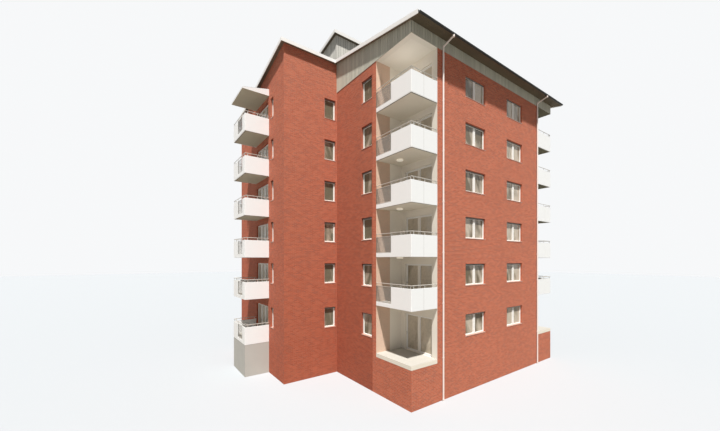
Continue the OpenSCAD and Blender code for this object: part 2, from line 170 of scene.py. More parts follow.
def by_size(node):
    """A node's panes or windows and the directions in which they look, gathered by width and height."""
    groups = {}
    for box in solids(node):
        outward = looks(node, box)
        start, end = box.span(outward)
        groups.setdefault((round(end - start, 3), round(box.size.z, 3)), []).append((box, outward))
    return groups.items()


def feet(node):
    """Where a node's stanchions stand: the middle of each patch of points at the foot of its solids."""
    points = {tuple(round(c, 4) for c in v.co) for v in cad_mesh(node).vertices}
    spots = []
    for foot in sorted({round(box.low.z, 3) for box in solids(node)}):
        level = [Vector(p) for p in points if abs(p[2] - foot) < 0.001]
        while level:
            first = level[0]
            near = [p for p in level if (p - first).length < FOOT]
            level = [p for p in level if (p - first).length >= FOOT]
            spots.append(sum(near, Vector()) / len(near))
    return spots


class Slope:
    """The underside or the top of a roof slope, which rises along Y."""

    def __init__(self, node, top=False):
        sign = 1 if top else -1
        face = max(cad_mesh(node).polygons, key=lambda f: f.normal.z * sign)
        self.point = face.center.copy()
        self.up = face.normal * sign
        self.tilt = Matrix.Rotation(math.atan2(-self.up.y, self.up.z), 4, "X")

    def height(self, y):
        return self.point.z + self.up.y * (self.point.y - y) / self.up.z

    def place(self, x, y):
        """Tilts a piece drawn level round the origin and sets it on the slope."""
        return Matrix.Translation((x, y, self.height(y))) @ self.tilt


def spread(start, end, count):
    """The middles of equal steps between two ends."""
    return [start + (end - start) * (k + 0.5) / count for k in range(count)]


def turn_to(outward):
    """Turns a piece that faces -Y so that it faces outward."""
    return Matrix.Rotation(math.atan2(outward.x, -outward.y), 4, "Z")


def at_face(box, outward, out=0.0):
    """Places a piece that faces -Y, drawn round the origin, at the middle of a box's outer face."""
    place = box.middle + outward * (box.face(outward) + out - box.middle.dot(outward))
    return Matrix.Translation(place) @ turn_to(outward)


# Modelling with Blender's own operators


def pick(*objects):
    """Selects these objects alone and makes the first one active."""
    bpy.ops.object.select_all(action="DESELECT")
    for obj in objects:
        obj.select_set(True)
    if objects:
        bpy.context.view_layer.objects.active = objects[0]


def add(name, data):
    """A new object in the scene."""
    obj = bpy.data.objects.new(name, data)
    bpy.context.scene.collection.objects.link(obj)
    return obj


def edit(obj, steps):
    """Runs steps in edit mode on everything of one object."""
    pick(obj)
    bpy.ops.object.mode_set(mode="EDIT")
    bpy.ops.mesh.select_all(action="SELECT")
    steps()
    bpy.ops.mesh.select_all(action="SELECT")
    bpy.ops.mesh.normals_make_consistent(inside=False)
    bpy.ops.object.mode_set(mode="OBJECT")


def settle(obj):
    """Moves an object's place, turn and size into its mesh."""
    pick(obj)
    bpy.ops.object.transform_apply(location=True, rotation=True, scale=True)
    return obj


def modify(obj, kind, **settings):
    """Adds a modifier and applies it."""
    modifier = obj.modifiers.new(kind.lower(), kind)
    for key, value in settings.items():
        setattr(modifier, key, value)
    pick(obj)
    bpy.ops.object.modifier_apply(modifier=modifier.name)
    return obj


def ease(obj, width, **settings):
    """Bevels a piece's edges."""
    return modify(obj, "BEVEL", width=width, limit_method="ANGLE", **settings)


def block(low, high, bevel=0.0):
    """A block between two corners, with its edges eased if wanted."""
    low, high = Vector(low), Vector(high)
    pick()
    bpy.ops.mesh.primitive_cube_add(size=1, location=(low + high) / 2)
    obj = bpy.context.object
    obj.scale = high - low
    settle(obj)
    return ease(obj, bevel) if bevel else obj


def ring(width, height, bar, depth):
    """A rectangular ring that faces -Y, its back on the XZ plane, its opening round the origin."""
    pick()
    bpy.ops.mesh.primitive_plane_add(size=1, rotation=(math.pi / 2, 0, 0))
    obj = bpy.context.object
    obj.scale = (width + 2 * bar, height + 2 * bar, 1)
    settle(obj)

    def steps():
        bpy.ops.mesh.inset(thickness=bar)
        bpy.ops.mesh.delete(type="FACE")
        bpy.ops.mesh.select_all(action="SELECT")
        bpy.ops.mesh.extrude_region_move(TRANSFORM_OT_translate={"value": (0, -depth, 0)})

    edit(obj, steps)
    return ease(obj, SOFT_EDGE)


def disc(radius, depth, bevel, segments):
    """A round disc that hangs down from the XY plane, with eased rims."""
    pick()
    place = (0, 0, -depth / 2)
    bpy.ops.mesh.primitive_cylinder_add(vertices=DISC_SIDES, radius=radius, depth=depth, location=place)
    obj = settle(bpy.context.object)
    return ease(obj, bevel, segments=segments, angle_limit=math.radians(50))


def rod(start, end, radius):
    """A round bar between two points."""
    start, end = Vector(start), Vector(end)
    pick()
    bpy.ops.mesh.primitive_cylinder_add(vertices=ROD_SIDES, radius=radius, depth=(end - start).length)
    obj = bpy.context.object
    obj.rotation_euler = (end - start).to_track_quat("Z", "Y").to_euler()
    obj.location = (start + end) / 2
    return settle(obj)


def plate(outward, face, along, heights, thick, bevel=0.0, back=0.0):
    """A plate on a face that looks outward, between two ends along it and two heights."""
    first, second = (
        outward * out + across(outward) * end + UP * height
        for out, end, height in zip((face - back, face + thick), along, heights)
    )
    return block(map(min, first, second), map(max, first, second), bevel)


def skin(node, wanted, thick):
    """A thin covering on those faces of a CAD node that are wanted."""
    obj = add(node + "_skin", cad_mesh(node).copy())
    obj.data.materials.clear()

    def steps():
        bpy.ops.mesh.remove_doubles(threshold=WELD)
        bpy.ops.mesh.select_mode(type="FACE")

    edit(obj, steps)
    obj.data.polygons.foreach_set("select", [not wanted(face) for face in obj.data.polygons])
    bpy.ops.object.mode_set(mode="EDIT")
    bpy.ops.mesh.delete(type="FACE")
    bpy.ops.object.mode_set(mode="OBJECT")
    return modify(obj, "SOLIDIFY", thickness=thick, offset=1.0)


def cut(obj, point, normal):
    """Cuts off what lies beyond a plane and closes the cut."""
    edit(obj, lambda: bpy.ops.mesh.bisect(plane_co=point, plane_no=normal, use_fill=True, clear_outer=True))


def copies(obj, places):
    """Copies of a piece at each place, each with its own mesh, as a list; the piece itself is used up."""
    made = []
    for place in places:
        copy = add(obj.name, obj.data.copy())
        copy.data.transform(place)
        made.append(copy)
    bpy.data.objects.remove(obj)
    return made


def join(objects):
    """Joins objects into the first."""
    pick(*objects)
    if len(objects) > 1:
        bpy.ops.object.join()
    return objects[0]


def dress(data, finish):
    """Gives a mesh one material."""
    data.materials.clear()
    data.materials.append(finish)


def keep(objects, name, finish):
    """Joins and names a finished piece, gives it its material and lets it ride on the block."""
    obj = join(objects)
    obj.name = name
    obj.data.name = name
    dress(obj.data, finish)
    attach(obj, BODY)


def paint(finish, *nodes):
    """Gives CAD nodes a material."""
    for name in nodes:
        dress(cad_mesh(name), finish)


# Materials


class Value:
    """One output of a tree's nodes, which takes part in sums."""

    def __init__(self, nodes, socket):
        self.nodes = nodes
        self.socket = socket

    def _math(self, operation, *values):
        return self.nodes.node("ShaderNodeMath", {"operation": operation}, dict(enumerate(values)))

    def __add__(self, other):
        return self._math("ADD", self, other)

    __radd__ = __add__

    def __sub__(self, other):
        return self._math("SUBTRACT", self, other)

    def __rsub__(self, other):
        return self._math("SUBTRACT", other, self)

    def __mul__(self, other):
        return self._math("MULTIPLY", self, other)

    __rmul__ = __mul__

    def __truediv__(self, other):
        return self._math("DIVIDE", self, other)

    def __gt__(self, other):
        return self._math("GREATER_THAN", self, other)

    def __lt__(self, other):
        return self._math("LESS_THAN", self, other)

    def __abs__(self):
        return self._math("ABSOLUTE", self)

    def highest(self, other):
        return self._math("MAXIMUM", self, other)

    def floor(self):
        return self._math("FLOOR", self)

    def wrap(self, length):
        return self._math("WRAP", self, length, 0.0)


class Nodes:
    """A node tree whose new nodes all come from one method."""

    def __init__(self, tree):
        self.tree = tree

    def node(self, kind, settings=None, inputs=None, output=0):
        made = self.tree.nodes.new(kind)
        for key, value in (settings or {}).items():
            if key == "stops":
                for element, (position, colour) in zip(made.color_ramp.elements, value):
                    element.position = position
                    element.color = (*colour, 1.0)
            else:
                setattr(made, key, value)
        for key, value in (inputs or {}).items():
            self.feed(made.inputs[key], value)
        return Value(self, made.outputs[output])

    def feed(self, socket, value):
        """Links a socket to a value, or sets it to a number, a vector or a colour."""
        if isinstance(value, Value):
            self.tree.links.new(value.socket, socket)
        elif socket.type == "RGBA":
            socket.default_value = (*value[:3], 1.0)
        else:
            socket.default_value = value

    def split(self, vector):
        """The three parts of a vector."""
        parts = self.node("ShaderNodeSeparateXYZ", inputs={0: vector})
        return [Value(self, output) for output in parts.socket.node.outputs]


class Recipe(Nodes):
    """A material on a Principled shader."""

    def __init__(self, name, **constants):
        self.material = bpy.data.materials.new(name)
        self.material.use_nodes = True
        super().__init__(self.material.node_tree)
        self.set(**constants)

    def set(self, **inputs):
        """Feeds the shader's sockets, named in small letters with underscores."""
        shader = self.tree.nodes["Principled BSDF"]
        names = {socket.name.lower().replace(" ", "_"): socket for socket in shader.inputs}
        for key, value in inputs.items():
            self.feed(names[key], value)

    def place(self):
        """A point on the object, and its three parts."""
        point = self.node("ShaderNodeTexCoord", output="Object")
        return point, self.split(point)

    def facing(self):
        """The three parts of the surface's direction."""
        return self.split(self.node("ShaderNodeNewGeometry", output="Normal"))

    def along(self):
        """A point on the object, its distance along a wall, and its height, or its depth on a level face."""
        point, (x, y, z) = self.place()
        nx, _, nz = self.facing()
        return point, x + (y - x) * (abs(nx) > TURNED), z + (y - z) * (abs(nz) > TURNED)

    def point(self, x, y, z=0.0):
        return self.node("ShaderNodeCombineXYZ", inputs={0: x, 1: y, 2: z})

    def noise(self, vector, scale, detail=2.0, roughness=0.5):
        inputs = {"Vector": vector, "Scale": scale, "Detail": detail, "Roughness": roughness}
        return self.node("ShaderNodeTexNoise", inputs=inputs)

    def chance(self, dimensions, **inputs):
        """A number of its own for each brick or board."""
        return self.node("ShaderNodeTexWhiteNoise", {"noise_dimensions": dimensions}, inputs)

    def mix(self, factor, first, second, blend="MIX"):
        """Blends two colours."""
        settings = {"data_type": "RGBA", "blend_type": blend}
        return self.node("ShaderNodeMix", settings, {0: factor, 6: first, 7: second}, output=2)

    def shade(self, colour, amount):
        """Darkens or lightens a colour by a number around 1."""
        grey = self.node("ShaderNodeCombineColor", inputs={0: amount, 1: amount, 2: amount})
        return self.mix(1.0, colour, grey, "MULTIPLY")

    def bump(self, height, distance, strength=1.0):
        inputs = {"Height": height, "Distance": distance, "Strength": strength}
        self.set(normal=self.node("ShaderNodeBump", inputs=inputs))


def brick_recipe(name, settings, painted_glow=False, low_darkening=False, tone=1.0):
    """Stretcher-bonded facing brick with flush joints, each brick with a tone of its own."""
    recipe = Recipe(name)
    point, run, rise = recipe.along()
    courses = rise / settings.course
    row = courses.floor()
    bricks = run / settings.length + row.wrap(2.0) * 0.5
    column = bricks.floor()
    bed = abs(courses - row - 0.5) > 0.5 - settings.joint / settings.course / 2
    joint = bed.highest(abs(bricks - column - 0.5) > 0.5 - settings.joint / settings.length / 2)
    own = recipe.chance("2D", Vector=recipe.point(column, row))
    face = recipe.mix(own, settings.dark, settings.light)
    burnt_from, burnt_cover = 0.86, 0.45
    face = recipe.mix((own > burnt_from) * burnt_cover, face, settings.burnt)
    cloud = recipe.noise(point, 0.35, 3.0)
    fine = recipe.noise(point, 14.0, 4.0, 0.65)
    sand = recipe.noise(point, 90.0, 2.0)
    face = recipe.shade(face, 0.80 + cloud * 0.2 + fine * 0.2)
    wall = recipe.mix(joint, face, recipe.shade(settings.mortar, 0.85 + sand * 0.25))
    # Painted glow: a pale cover over the bricks where they face the front, standing in for the light in the
    # recesses
    if painted_glow:
        _, ny, _ = recipe.facing()
        wall = recipe.mix((ny < -FACING) * settings.wash_cover, wall, settings.painted_glow_tint)
    # Darker towards the bottom, fading out at the darkening height
    if low_darkening:
        darkening = 1.0 - rise / settings.darkening_height + cloud * 0.2
        wall = recipe.mix(darkening, wall, recipe.mix(1.0, wall, settings.low_darkening, "MULTIPLY"))
    # Painted shade: a tone below 1 darkens the whole wall
    if tone != 1.0:
        wall = recipe.shade(wall, tone)
    recipe.set(base_color=wall, roughness=0.78 + sand * 0.14)
    recipe.bump(sand * 0.2 + fine * 0.15 - joint, 0.005, 0.9)
    return recipe.material


def board_recipe(name, colour, pitch):
    """Painted boards with grain along them and a tone of their own."""
    recipe = Recipe(name, roughness=0.65)
    point, run, rise = recipe.along()
    board = (run / pitch).floor()
    own = recipe.chance("1D", W=board)
    grain = recipe.noise(recipe.point(run * 60.0, rise * 2.0, board * 3.1), 1.0, 4.0, 0.6)
    weather = recipe.noise(point, 0.8, 3.0)
    recipe.set(base_color=recipe.shade(colour, 0.80 + own * 0.22 + grain * 0.08 + weather * 0.08))
    recipe.bump(grain, 0.002)
    return recipe.material


def mineral_recipe(name, colour, grain_scale, depth, drift=0.12, right_painted_shade=None, top_colour=None):
    """Render or concrete with fine grain and clouds, with painted shade under the right balconies and another paint
    on top where wanted.
    """
    recipe = Recipe(name, roughness=0.9)
    point, (x, _, _) = recipe.place()
    cloud = recipe.noise(point, 0.7, 4.0)
    grain = recipe.noise(point, grain_scale, 3.0)
    # Painted shade: undersides beyond the right part take a dark colour
    if right_painted_shade is not None:
        _, _, nz = recipe.facing()
        colour = recipe.mix((x > RIGHT_PART) * (nz < -FACING), colour, right_painted_shade)
    if top_colour is not None:
        _, _, nz = recipe.facing()
        colour = recipe.mix(nz > FACING, colour, top_colour)
    recipe.set(base_color=recipe.shade(colour, 0.97 - drift / 2 + cloud * drift + grain * 0.06))
    recipe.bump(grain, depth)
    return recipe.material


def over_panes(z):
    """1 in a band over the front panes of every storey and 0 elsewhere, for the height of a point in a material."""
    first, second, third = sorted({round(box.high.z, 3) for box in solids("front_glass")})[:3]
    storey = third - second
    even = z + (z < (first + second) / 2) * (second - first - storey)
    return (even - second).wrap(storey) < HEAD_SHADE_BAND


def paint_recipe(name, colour, roughness, metallic=0.0, drift=0.05, left_painted_light=None, head_shade=0.0):
    """Smooth factory paint with slight unevenness and a little dust, with painted light on faces that look left and
    painted shade on the head bars over windows if wanted.
    """
    recipe = Recipe(name, metallic=metallic)
    point, (_, _, z) = recipe.place()
    # Painted light: faces that look left take a whiter colour, as if better lit
    if left_painted_light is not None:
        nx, _, _ = recipe.facing()
        colour = recipe.mix(nx < -FACING, colour, left_painted_light)
    # Painted shade: the head bar over each front pane darkened, as if in the lintel's shadow
    if head_shade:
        colour = recipe.shade(colour, 1.0 - over_panes(z) * head_shade)
    cloud = recipe.noise(point, 1.7, 3.0)
    dust = recipe.noise(point, 14.0, 4.0, 0.6)
    tone = 1.0 - drift + cloud * drift + dust * drift * 0.6
    recipe.set(base_color=recipe.shade(colour, tone), roughness=roughness + dust * 0.12)
    recipe.bump(dust, 0.0004)
    return recipe.material


def window_glass_recipe(name, settings, tint, reach):
    """Window glass over dim rooms, with painted reflections as soft pale streaks."""
    recipe = Recipe(name, ior=1.5)
    point, run, rise = recipe.along()
    x, y, z = recipe.split(point)
    lean = recipe.point(run * 1.5 + rise * 0.35, rise * 0.55, 3.0)
    # More painted reflection on the front, growing to the right and upward
    more_painted_reflection = (x * 0.025 + 0.02 + z * 0.003) * (y < FRONT_PART)
    streak = recipe.noise(lean, 1.15, 2.0, 0.45) + more_painted_reflection
    stops = zip(reach, ((0.0, 0.0, 0.0), (1.0, 1.0, 1.0)))
    pale = recipe.node("ShaderNodeValToRGB", {"stops": stops}, {0: streak})
    fine = recipe.noise(point, 7.0, 3.0)
    colour = recipe.shade(recipe.mix(pale, tint, settings.painted_reflection), 0.85 + fine * 0.3)
    recipe.set(base_color=colour, roughness=0.04 + fine * 0.05, alpha=0.86 + fine * 0.1)
    return recipe.material


# Settings that a user would change


def metres(name, description, default):
    return FloatProperty(name=name, description=description, default=default, unit="LENGTH")


def tint(name, description, default):
    return FloatVectorProperty(name=name, description=description, default=default, subtype="COLOR")


def share(name, description, default):
    return FloatProperty(name=name, description=description, default=default, subtype="FACTOR")


def strength(name, description, default):
    return FloatProperty(name=name, description=description, default=default)


class BrickSettings(bpy.types.PropertyGroup):
    """Size and colours of the bricks."""

    length: metres("Length", "Brick with its joint", 0.262)
    course: metres("Course", "Height of a course with its joint", 0.077)
    joint: metres("Joint", "Width of a joint", 0.012)
    light: tint("Light", "Colour of the lighter bricks", (0.605, 0.160, 0.081))
    dark: tint("Dark", "Colour of the darker bricks", (0.455, 0.106, 0.053))
    burnt: tint("Burnt", "Colour of the hardest-fired bricks", (0.24, 0.062, 0.048))
    mortar: tint("Mortar", "Colour of the joints", (0.50, 0.31, 0.22))
    # Painted glow on the recess bricks: its colour, and how much of the bricks it hides
    painted_glow_tint: tint("Wash", "Colour of the thin lime wash in the recesses", (0.80, 0.66, 0.52))
    wash_cover: share("Wash cover", "How much of the brick the wash hides", 0.72)
    # Bricks darker towards the bottom: the colour they are multiplied by, and the height where this ends
    low_darkening: tint("Damp", "What damp leaves of the bricks' colour", (0.80, 0.66, 0.60))
    darkening_height: metres("Dry height", "Height at which a shaded wall is dry", 19.0)
    # Painted shade: the tone that darkens the bricks of the inner corner
    shaded: share("Shaded", "Tone of the bricks in the inner corner", 0.88)


class BoardSettings(bpy.types.PropertyGroup):
    """Sizes and colours of boards and of the sheets at their feet."""

    pitch: metres("Pitch", "Distance from board to board", 0.21)
    gap: metres("Gap", "Gap between two boards", 0.02)
    thickness: metres("Thickness", "Thickness of a board", 0.018)
    colour: tint("Colour", "Colour of the boards", (0.55, 0.55, 0.47))
    # Painted light: the fan room's boards are a lighter copy of the boards, as if in sunlight
    fan_room: tint("Fan room colour", "Colour of the fan room's boards", (0.77, 0.755, 0.70))
    # Painted shade: the sheathing's dark colour makes the gaps between the boards read as shade
    gap_colour: tint("Gap colour", "Colour of the sheathing behind the boards", (0.10, 0.095, 0.08))
    flashing: tint("Flashing", "Colour of the sheets under the boards", (0.45, 0.43, 0.37))
    soffit_width: metres("Soffit width", "Width of a board under the eaves", 0.115)
    soffit: tint("Soffit colour", "Colour of the boards under the eaves", (0.135, 0.108, 0.068))


class WindowSettings(bpy.types.PropertyGroup):
    """Sizes and colours of windows and balcony doors."""

    sash: metres("Sash", "Width of a sash bar", 0.05)
    proud: metres("Proud", "How far a sash stands before its frame", 0.012)
    bead: metres("Bead", "Size of a glazing bead", 0.016)
    door: metres("Door", "Width up to which a balcony door's pane opens", 0.9)
    handle: metres("Handle", "Height of a door handle over its pane's foot", 0.95)
    inset: metres("Inset", "Depth of the glass behind its frame's face", 0.038)
    white: tint("White", "Colour of frames and trim", (0.90, 0.885, 0.86))
    # Painted shade: how much the frames' head bars are darkened, as if in the lintel's shadow
    head_shade: share("Soot", "How much soot darkens a frame's head", 0.8)
    sill: tint("Sill", "Colour of the sill sheets", (0.52, 0.31, 0.25))
    steel: tint("Steel", "Colour of the door handles", (0.55, 0.54, 0.52))
    glass: tint("Glass", "Tint of the window glass", (0.17, 0.137, 0.088))
    # Painted reflection: the left windows' glass has a tint of its own for what it reflects
    left_glass: tint("Left glass", "Tint of the glass on the left side", (0.175, 0.17, 0.12))
    # Painted reflection: the colour of the pale streaks on the window glass
    painted_reflection: tint("Haze", "Colour of the pale haze on the window glass", (0.60, 0.53, 0.43))


class BalconySettings(bpy.types.PropertyGroup):
    """Sizes and colours of the balconies."""

    panel: metres("Panel", "Thickness of a facing panel", 0.008)
    joint: metres("Joint", "Width of a joint between two panels", 0.014)
    split: metres("Split", "Distance of the joint from the outer corner", 0.95)
    lining: metres("Lining", "Width of the render beside the glazed wall", 0.96)
    lamp: metres("Lamp", "Radius of a ceiling lamp", 0.2)
    lamp_depth: metres("Lamp depth", "Depth of a ceiling lamp", 0.09)
    lamp_in: metres("Lamp place", "Distance of a ceiling lamp from the slab's outer side", 0.95)
    bowl: tint("Bowl", "Colour of a ceiling lamp's bowl", (0.78, 0.72, 0.60))
    glow: tint("Glow", "Colour of the faint light from a ceiling lamp", (1.0, 0.93, 0.80))
    white: tint("White", "Colour of the parapet panels", (0.905, 0.925, 0.94))
    # Painted light: the whiter colour of panels that look left
    left_white: tint("Left white", "Colour of the panels that look left", (0.99, 0.99, 0.99))
    gasket: tint("Gasket", "Colour between two panels", (0.25, 0.245, 0.23))
    cap: tint("Cap", "Colour of the parapets' caps", (0.55, 0.56, 0.56))
    rail: tint("Rail", "Colour of the rails", (0.62, 0.60, 0.56))
    glass: tint("Glass", "Tint of the railing glass", (0.36, 0.34, 0.31))
    # The dark colour also serves the strips under the slabs, a painted shadow gap
    profile: tint("Profile", "Colour of glass profiles and drip edges", (0.13, 0.125, 0.10))
    plaster: tint("Plaster", "Colour of the recess walls", (0.84, 0.79, 0.71))
    soffit: tint("Soffit", "Colour of the undersides", (0.82, 0.77, 0.67))
    # Painted shade: the dark colour of the undersides under the right balconies
    dark_soffit: tint("Dark soffit", "Colour of the right balconies' undersides", (0.17, 0.16, 0.105))
    side_soffit: tint("Side soffit", "Colour of the side balconies' undersides", (0.51, 0.48, 0.38))
    deck: tint("Deck", "Colour of the balcony floors", (0.47, 0.45, 0.41))
    base: tint("Base", "Colour of the block under the side balconies", (0.50, 0.49, 0.46))
    ceiling: tint("Ceiling", "Colour of the top ceilings", (0.93, 0.90, 0.83))


class RoofSettings(bpy.types.PropertyGroup):
    """Sizes and colours of roofs and rainwater goods."""

    seam_pitch: metres("Seam pitch", "Distance between standing seams", 0.61)
    seam_height: metres("Seam height", "Height of a standing seam", 0.032)
    seam_end: metres("Seam end", "Distance of a seam's end from the roof's edge", 0.12)
    ridge_width: metres("Ridge width", "Half the width of the ridge cap", 0.16)
    hook_pitch: metres("Hook pitch", "Distance between gutter hooks", 0.8)
    sheet: tint("Sheet", "Colour of the roof sheet", (0.045, 0.047, 0.048))
    under: tint("Under", "Colour of the boards under the roof sheet", (0.20, 0.155, 0.11))
    edge: tint("Edge", "Colour of the boards along the roof's edge", (0.96, 0.955, 0.945))
    gutter: tint("Gutter", "Colour of gutters, hooks and caps", (0.035, 0.038, 0.038))
    pipe: tint("Pipe", "Colour of the downpipes", (0.90, 0.82, 0.78))


class StageSettings(bpy.types.PropertyGroup):
    """Camera, lamps and floor."""

    eye: FloatVectorProperty(
        name="Eye", description="Place of the camera", default=(-17.0615, -20.46, 8.05), subtype="TRANSLATION")
    heading: FloatProperty(
        name="Heading", description="Turn of the camera from the front wall's normal", default=0.6243,
        subtype="ANGLE")
    lens: FloatProperty(name="Lens", description="Focal length in millimetres", default=15.75)
    horizon_row: IntProperty(
        name="Horizon row", description="Row of the picture in which the horizon lies", default=259)
    sun: strength("Sun", "Strength of the main lamp", 6.05)
    sun_colour: tint("Sun colour", "Colour of the main lamp", (1.0, 0.97, 0.92))
    beam: FloatVectorProperty(
        name="Beam", description="Direction of the main lamp's light", default=(0.93, 1.31, -3.37),
        subtype="DIRECTION")
    sky: strength("Sky", "Strength of the surrounding light", 0.17)
    sky_colour: tint("Sky colour", "Colour of the surrounding light", (0.92, 0.96, 1.0))
    background: tint("Background", "Colour behind the block", (0.93, 0.94, 0.95))
    floor: tint("Floor", "Colour of the floor", (0.452, 0.479, 0.51))
    bounce: tint("Bounce", "Colour of the floor in the light it throws back", (0.265, 0.255, 0.235))
    balcony: strength("Balcony lamps", "Strength of the lamps in the recesses", 1.9)
    top_lamp: strength("Top lamp", "Strength of the lamp in the top recess", 17.0)
    lamp_colour: tint("Lamp colour", "Colour of the lamps in the recesses", (1.0, 0.94, 0.85))
    lamp_height: metres("Lamp height", "Height of a recess lamp over its floor", 1.6)


# Pieces


class BLOCK_OT_masonry(bpy.types.Operator):
    """Brick on the outer walls, render in the recesses"""

    bl_idname = "block.masonry"
    bl_label = "Masonry"

    def execute(self, context):
        bricks = context.scene.block_brick
        paint(brick_recipe("brick", bricks), "front_wall", "recess_bases")
        # Every wall but the front one is darker towards the bottom
        darkened_low = brick_recipe("weathered_brick", bricks, low_darkening=True)
        paint(darkened_low, "bay_front_wall", "bay_side_wall", "rear_wall", "right_wall")
        # The left wall also takes painted shade for the inner corner
        paint(brick_recipe("shaded_brick", bricks, low_darkening=True, tone=bricks.shaded), "left_wall")
        # The recess back walls take a painted glow over their bricks
        paint(brick_recipe("washed_brick", bricks, painted_glow=True), "recess_back_walls")
        settings = context.scene.block_balcony
        plaster = mineral_recipe("plaster", settings.plaster, 45.0, 0.002)
        paint(plaster, "recess_side_walls")
        # Undersides under the right balconies take painted shade
        concrete = mineral_recipe("concrete", settings.soffit, 30.0, 0.001, right_painted_shade=settings.dark_soffit,
                                  top_colour=settings.deck)
        paint(concrete, "main_floors", "front_floors", "bay_floors", "corner_balcony_slabs")
        paint(mineral_recipe("base_concrete", settings.base, 25.0, 0.0015, 0.2), "terrace_base")
        side = mineral_recipe("side_concrete", settings.side_soffit, 30.0, 0.001, top_colour=settings.deck)
        paint(side, "side_balcony_slabs")
        # The ceiling also takes painted shade beyond the right part
        ceiling = mineral_recipe("ceiling", settings.ceiling, 60.0, 0.0005, 0.06, settings.dark_soffit)
        paint(ceiling, "attic_floor")
        keep(self.linings(settings), "recess_lining", plaster)
        return {"FINISHED"}

    def linings(self, settings):
        """Thin render on a strip of each recess's back wall and on the ends of the front wall."""
        back = node_box("recess_back_walls")
        front = node_box("front_wall")
        heights = (node_box("corner_balcony_slabs").low.z, back.high.z)
        inset, overlap, thick = 0.002, 0.001, 0.008
        ends = (front.low.y + inset, node_box("recess_side_walls").low.y + overlap)
        made = []
        for outward, inner in ((LEFT, front.low.x), (RIGHT, front.high.x)):
            strip = (inner, inner + outward.x * settings.lining)
            made.append(plate(FRONT, back.face(FRONT), strip, heights, thick))
            made.append(plate(outward, front.face(outward), ends, heights, thick))
        return made


